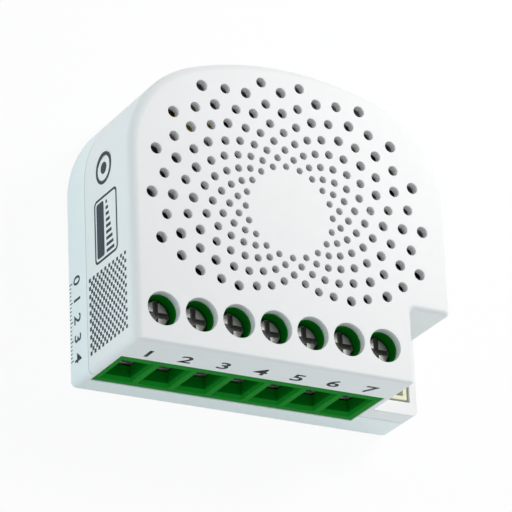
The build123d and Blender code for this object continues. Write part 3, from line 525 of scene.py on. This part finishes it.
# A field of squares on every other cell, which shrink evenly from the rear to the front
FIELD_LOW = (7.8, 6.0)
CELL_COUNT = 19
CELL = 0.52
SQUARE_SHARE = 0.49
SHRINK_SHARE = 0.004
squares = []
for row in range(CELL_COUNT):
    half = CELL * (SQUARE_SHARE - SHRINK_SHARE * row)
    for column in range(row % 2, CELL_COUNT, 2):
        a = FIELD_LOW[0] + CELL * (column + 0.5)
        b = FIELD_LOW[1] + CELL * (row + 0.5)
        squares.append(bar(a - half, b - half, a + half, b + half))
print_plates("square_field_mark", left_sheet, squares)

# A plain scale on the rear cover's wall, with a number at each long tick
SCALE_START = 6.6
TICK_STEP = 0.5
TICK_WIDTH = 0.12
TICK_FOOT = 0.75
TICK_TOP = 1.15
LONG_TICK_TOP = 1.5
TICKS_TO_NUMBER = 5
NUMBER_COUNT = 5
NUMBER_RISE = 2.7
ticks = []
for i in range((NUMBER_COUNT - 1) * TICKS_TO_NUMBER + 1):
    a = SCALE_START + TICK_STEP * i
    top = LONG_TICK_TOP if i % TICKS_TO_NUMBER == 0 else TICK_TOP
    ticks.append(bar(a - TICK_WIDTH / 2, TICK_FOOT, a + TICK_WIDTH / 2, top))
print_plates("scale_mark", left_sheet, ticks)
for i in range(NUMBER_COUNT):
    a = SCALE_START + TICK_STEP * TICKS_TO_NUMBER * i
    print_number(f"scale_number_{i}", str(i), left_sheet, a, NUMBER_RISE, height=1.7, stretch=1.1,
                 bold=0.012, ink_name="print_slate")

# Solder joints under the board, round every pin and lead
board_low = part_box("main_board")[0][2]
board_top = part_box("main_board")[1][2]
PIN_NODES = ("terminal_bars", "relay_1_pins", "relay_2_pins", "socket_pins")
LEADS = (("film_capacitor", 5.0, True), ("varistor", 5.0, False),
         ("transformer_bobbin", 5.6, True), ("tact_switch", 4.6, True))
LEAD_RADIUS = 0.25
SOLDER_REACH = 0.36
PIN_END_DEPTH = 0.01
JOINT_STEPS = 16


def pin_ends(name):
    """(x, y, half width) in metres of the lower end of each separate pin of a node."""
    bm = bmesh.new()
    bm.from_mesh(nodes[name].data)
    bmesh.ops.remove_doubles(bm, verts=bm.verts, dist=READ_WELD * MM)
    low = min(vert.co.z for vert in bm.verts)
    waiting = {vert for vert in bm.verts if vert.co.z < low + PIN_END_DEPTH * MM}
    ends = []
    while waiting:
        group = [waiting.pop()]
        for vert in group:
            near = {edge.other_vert(vert) for edge in vert.link_edges} & waiting
            waiting -= near
            group.extend(near)
        xs = [vert.co.x for vert in group]
        ys = [vert.co.y for vert in group]
        ends.append(((min(xs) + max(xs)) / 2, (min(ys) + max(ys)) / 2, (max(xs) - min(xs)) / 2))
    bm.free()
    return sorted(ends)


def lead_ends(name, apart, along_x):
    """(x, y, half width) in metres of two round leads under a part, the given distance apart."""
    low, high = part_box(name)
    x, y = (low[0] + high[0]) / 2, (low[1] + high[1]) / 2
    half = apart / 2 * MM
    shift = (half, 0) if along_x else (0, half)
    radius = LEAD_RADIUS * MM
    return [(x - shift[0], y - shift[1], radius), (x + shift[0], y + shift[1], radius)]


def joint(bm, x, y, half, with_lead):
    """A cone of solder that thins out along its pin, with the tip of the lead where the CAD has none."""
    foot = half + SOLDER_REACH * MM
    profile = [(foot, 0.01), (foot * 0.93, 0.06), (foot * 0.76, 0.13)]
    profile += [(half * 1.5, 0.26), (half * 1.3, 0.36)]
    if with_lead:
        profile += [(half, 0.38), (half * 0.96, 0.5), (half * 0.7, 0.55)]
    turns = [2 * math.pi * i / JOINT_STEPS for i in range(JOINT_STEPS)]
    rings = []
    for radius, drop in profile:
        z = board_low - drop * MM
        rings.append([bm.verts.new((x + radius * math.cos(turn), y + radius * math.sin(turn), z))
                      for turn in turns])
    for upper, lower in zip(rings, rings[1:]):
        for i in range(JOINT_STEPS):
            j = (i + 1) % JOINT_STEPS
            bm.faces.new((upper[i], upper[j], lower[j], lower[i]))
    bm.faces.new(rings[0])
    bm.faces.new(rings[-1][::-1])


joints = bmesh.new()
for name in PIN_NODES:
    for x, y, half in pin_ends(name):
        joint(joints, x, y, half, False)
for name, apart, along_x in LEADS:
    for x, y, half in lead_ends(name, apart, along_x):
        joint(joints, x, y, half, True)
solder_mesh = mesh_from("solder_joints", joints)
for face in solder_mesh.polygons:
    face.use_smooth = True
add_object("solder_joints", solder_mesh, "solder")

# Small chip parts on the free places of the board, above and below
CHIP_COUNT = 22
CHIP_SIZES = ((1.6, 0.8, 0.5), (1.3, 0.7, 0.45), (1.0, 0.5, 0.4))
CHIP_GRID = 0.5
CHIP_APART = 2.3
CHIP_CLEARANCE = 1.15
CHIP_LEVEL = 0.3
CHIP_RIM = 1.3
CHIP_TRIES = 2500
CHIP_EDGE = 0.05
CAP_LENGTH = 0.25
CAP_OVERLAP = 0.03
CAP_PROUD = 0.03
CAP_TALLER = 0.04
chance = random.Random(7)


def tree_of(mesh):
    return BVHTree.FromPolygons([vert.co for vert in mesh.vertices],
                                [face.vertices for face in mesh.polygons])


board_tree = tree_of(nodes["main_board"].data)
other_trees = [tree_of(node.data) for name, node in nodes.items()
               if name not in ("front_shell", "main_board")]
other_trees.append(tree_of(solder_mesh))


def chip_places(down):
    """Random places on one side of the board that stay clear of every other part and of each other."""
    low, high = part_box("main_board")
    z = board_low - CHIP_LEVEL * MM if down else board_top + CHIP_LEVEL * MM
    inwards = Vector((0, 0, 1 if down else -1))
    found = []
    for _ in range(CHIP_TRIES):
        x, y = chance.uniform(low[0], high[0]), chance.uniform(low[1], high[1])
        x, y = (round(value / MM / CHIP_GRID) * CHIP_GRID * MM for value in (x, y))
        place = Vector((x, y, z))
        if any((place - other).length < CHIP_APART * MM for other in found):
            continue
        if any(tree.find_nearest(place, CHIP_CLEARANCE * MM)[0] for tree in other_trees):
            continue
        rim = [place + Vector((a, b, 0)) * MM for a in (-CHIP_RIM, CHIP_RIM) for b in (-CHIP_RIM, CHIP_RIM)]
        if not all(board_tree.ray_cast(corner, inwards, 2 * CHIP_LEVEL * MM)[0] for corner in rim):
            continue
        found.append(place)
        if len(found) == CHIP_COUNT:
            break
    return found


def chip_box(bm, place, turned, low, high, width, height, down):
    """A softly edged box on the board, from low to high along a chip part."""
    base = board_low - height * MM if down else board_top
    corners = []
    for along in (low, high):
        for across in (-width / 2, width / 2):
            for up in (0.0, height):
                a, b = (across, along) if turned else (along, across)
                corners.append(Vector((place.x + a * MM, place.y + b * MM, base + up * MM)))
    verts = [bm.verts.new(corner) for corner in corners]
    faces = [bm.faces.new([verts[i] for i in ring]) for ring in
             ((0, 1, 3, 2), (4, 6, 7, 5), (0, 4, 5, 1), (2, 3, 7, 6), (0, 2, 6, 4), (1, 5, 7, 3))]
    bmesh.ops.recalc_face_normals(bm, faces=faces)
    edges = list({edge for face in faces for edge in face.edges})
    bmesh.ops.bevel(bm, geom=edges, offset=CHIP_EDGE * MM, segments=2, affect="EDGES")


bodies = bmesh.new()
caps = bmesh.new()
for down in (False, True):
    for place in chip_places(down):
        turned = chance.random() < 0.5
        length, width, height = chance.choice(CHIP_SIZES)
        end = length / 2
        inner = end - CAP_LENGTH + CAP_OVERLAP
        chip_box(bodies, place, turned, -inner, inner, width - 2 * CAP_PROUD, height - CAP_TALLER, down)
        chip_box(caps, place, turned, -end, -end + CAP_LENGTH, width, height, down)
        chip_box(caps, place, turned, end - CAP_LENGTH, end, width, height, down)
add_object("chip_part_bodies", mesh_from("chip_part_bodies", bodies), "ceramic_tan")
add_object("chip_part_ends", mesh_from("chip_part_ends", caps), "solder")

# Floor: white to the camera, apart from a share that takes light and so shows the object's soft shadow
FLOOR_SHARE = 0.08
FLOOR_HALF = 3000.0
FLOOR_GAP = 0.2
g = Surface("floor_white")
g.fix(Roughness=0.9, Specular_IOR_Level=0.0)
g.colour(g.mixed(g.noise(90.0, 3.0), (0.89, 0.9, 0.9), (0.91, 0.92, 0.92)))
glow = g.add("ShaderNodeEmission")
glow.inputs["Strength"].default_value = 1.0
g.show(g.maths("MULTIPLY", g.in_view(), 1 - FLOOR_SHARE), g.shader, glow, "Material Output")

bm = bmesh.new()
bmesh.ops.create_grid(bm, x_segments=8, y_segments=8, size=FLOOR_HALF * MM)
floor_mesh = bpy.data.meshes.new("floor")
bm.to_mesh(floor_mesh)
bm.free()
floor_mesh.materials.append(g.material)
floor = bpy.data.objects.new("floor", floor_mesh)
floor.location.z = cad_box[0][2] - FLOOR_GAP * MM
bpy.context.scene.collection.objects.link(floor)

# World: pure white where it is seen, a plain sky for the light
world = bpy.data.worlds.new("studio")
world.use_nodes = True
bpy.context.scene.world = world
g = Graph(world.node_tree)
sky = g.tree.nodes["Background"]
sky.inputs["Color"].default_value = (0.97, 1.0, 1.01, 1.0)
sky.inputs["Strength"].default_value = 0.42
white = g.add("ShaderNodeBackground")
white.inputs["Color"].default_value = (1.0, 1.0, 1.0, 1.0)
white.inputs["Strength"].default_value = 1.0
g.show(g.in_view(), sky, white, "World Output")


def area_light(name, place, aim, size, power, colour):
    """A square soft lamp at place, turned to aim. Its size is its side, and its power is in watts."""
    lamp = bpy.data.lights.new(name, "AREA")
    lamp.shape = "SQUARE"
    lamp.size = size * MM
    lamp.energy = power
    lamp.color = colour
    holder = bpy.data.objects.new(name, lamp)
    holder.location = Vector(place) * MM
    holder.rotation_euler = (Vector(aim) - Vector(place)).to_track_quat("-Z", "Y").to_euler()
    bpy.context.scene.collection.objects.link(holder)


area_light("key_lamp", place=(110, 90, 150), aim=(5, 0, 15), size=90, power=0.256,
           colour=(1.0, 0.985, 0.975))
area_light("left_lamp", place=(-260, -20, 50), aim=(-20, 0, 8), size=120, power=0.23,
           colour=(0.8, 1.0, 1.04))
area_light("front_lamp", place=(110, -240, 40), aim=(10, -15, 8), size=120, power=0.14,
           colour=(0.8, 1.0, 1.03))

# Camera at the photograph's viewing angle
CAMERA_PLACE = Vector((-211.04, -186.02, 382.88))
CAMERA_RIGHT = Vector((0.87877, -0.03906, 0.47567))
CAMERA_UP = Vector((-0.15592, 0.91846, 0.36361))
FOCAL_LENGTH = 268.59
SENSOR_WIDTH = 36.0
NEAREST_SEEN = 20
FARTHEST_SEEN = 20000
camera_data = bpy.data.cameras.new("camera")
camera_data.sensor_fit = "HORIZONTAL"
camera_data.sensor_width = SENSOR_WIDTH
camera_data.lens = FOCAL_LENGTH
camera_data.clip_start = NEAREST_SEEN * MM
camera_data.clip_end = FARTHEST_SEEN * MM
camera = bpy.data.objects.new("camera", camera_data)
out = CAMERA_RIGHT.cross(CAMERA_UP).normalized()
up = out.cross(CAMERA_RIGHT).normalized()
right = up.cross(out)
turn = Matrix((right, up, out)).transposed().to_4x4()
camera.matrix_world = Matrix.Translation(CAMERA_PLACE * MM) @ turn
bpy.context.scene.collection.objects.link(camera)
bpy.context.scene.camera = camera
bpy.context.scene.view_settings.view_transform = "Standard"
